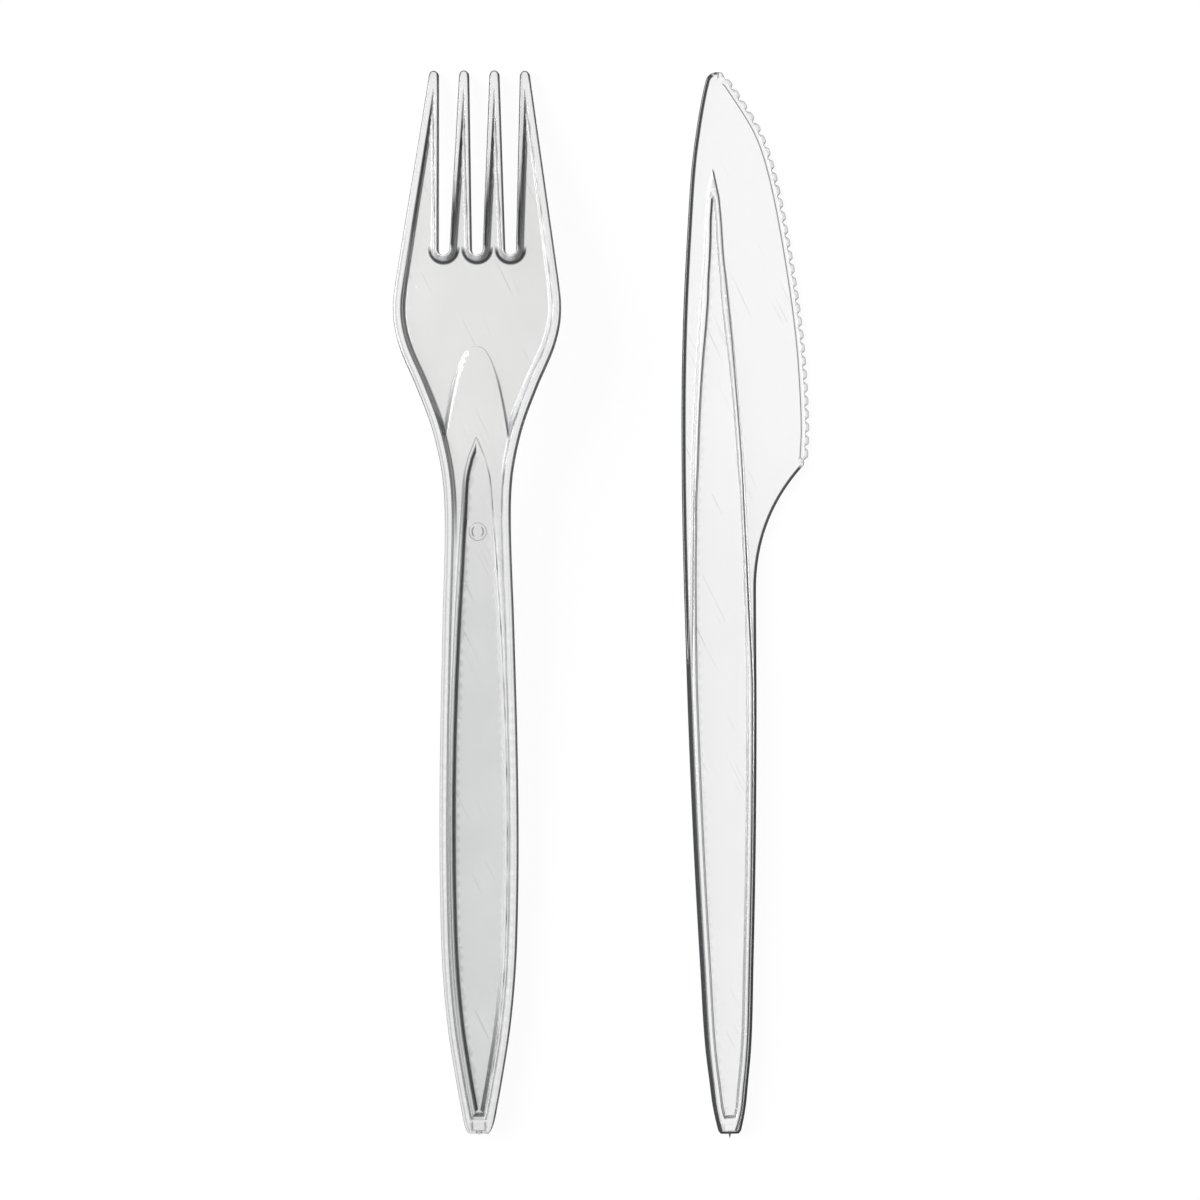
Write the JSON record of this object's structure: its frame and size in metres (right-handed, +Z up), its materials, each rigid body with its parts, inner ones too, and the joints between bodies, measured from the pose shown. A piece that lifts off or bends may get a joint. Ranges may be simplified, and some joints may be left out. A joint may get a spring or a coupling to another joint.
{
  "type": "plastic cutlery set",
  "caption": "Clear moulded plastic fork and serrated knife lying side by side, each with a channelled handle.",
  "frame": {"origin": "middle of the set's footprint, on the table that both pieces lie on", "axes": "+Y towards the tips of the fork and knife, +Z up, fork on the -X side and knife on the +X side"},
  "size_m": [0.0698, 0.1808, 0.0129],
  "materials": {
    "fork_plastic": "clear glossy moulded plastic, faintly grey",
    "knife_plastic": "clear glossy moulded plastic"
  },
  "bodies": {
    "root": {"fork": "fork_plastic", "knife": "knife_plastic"}
  },
  "joints": []
}
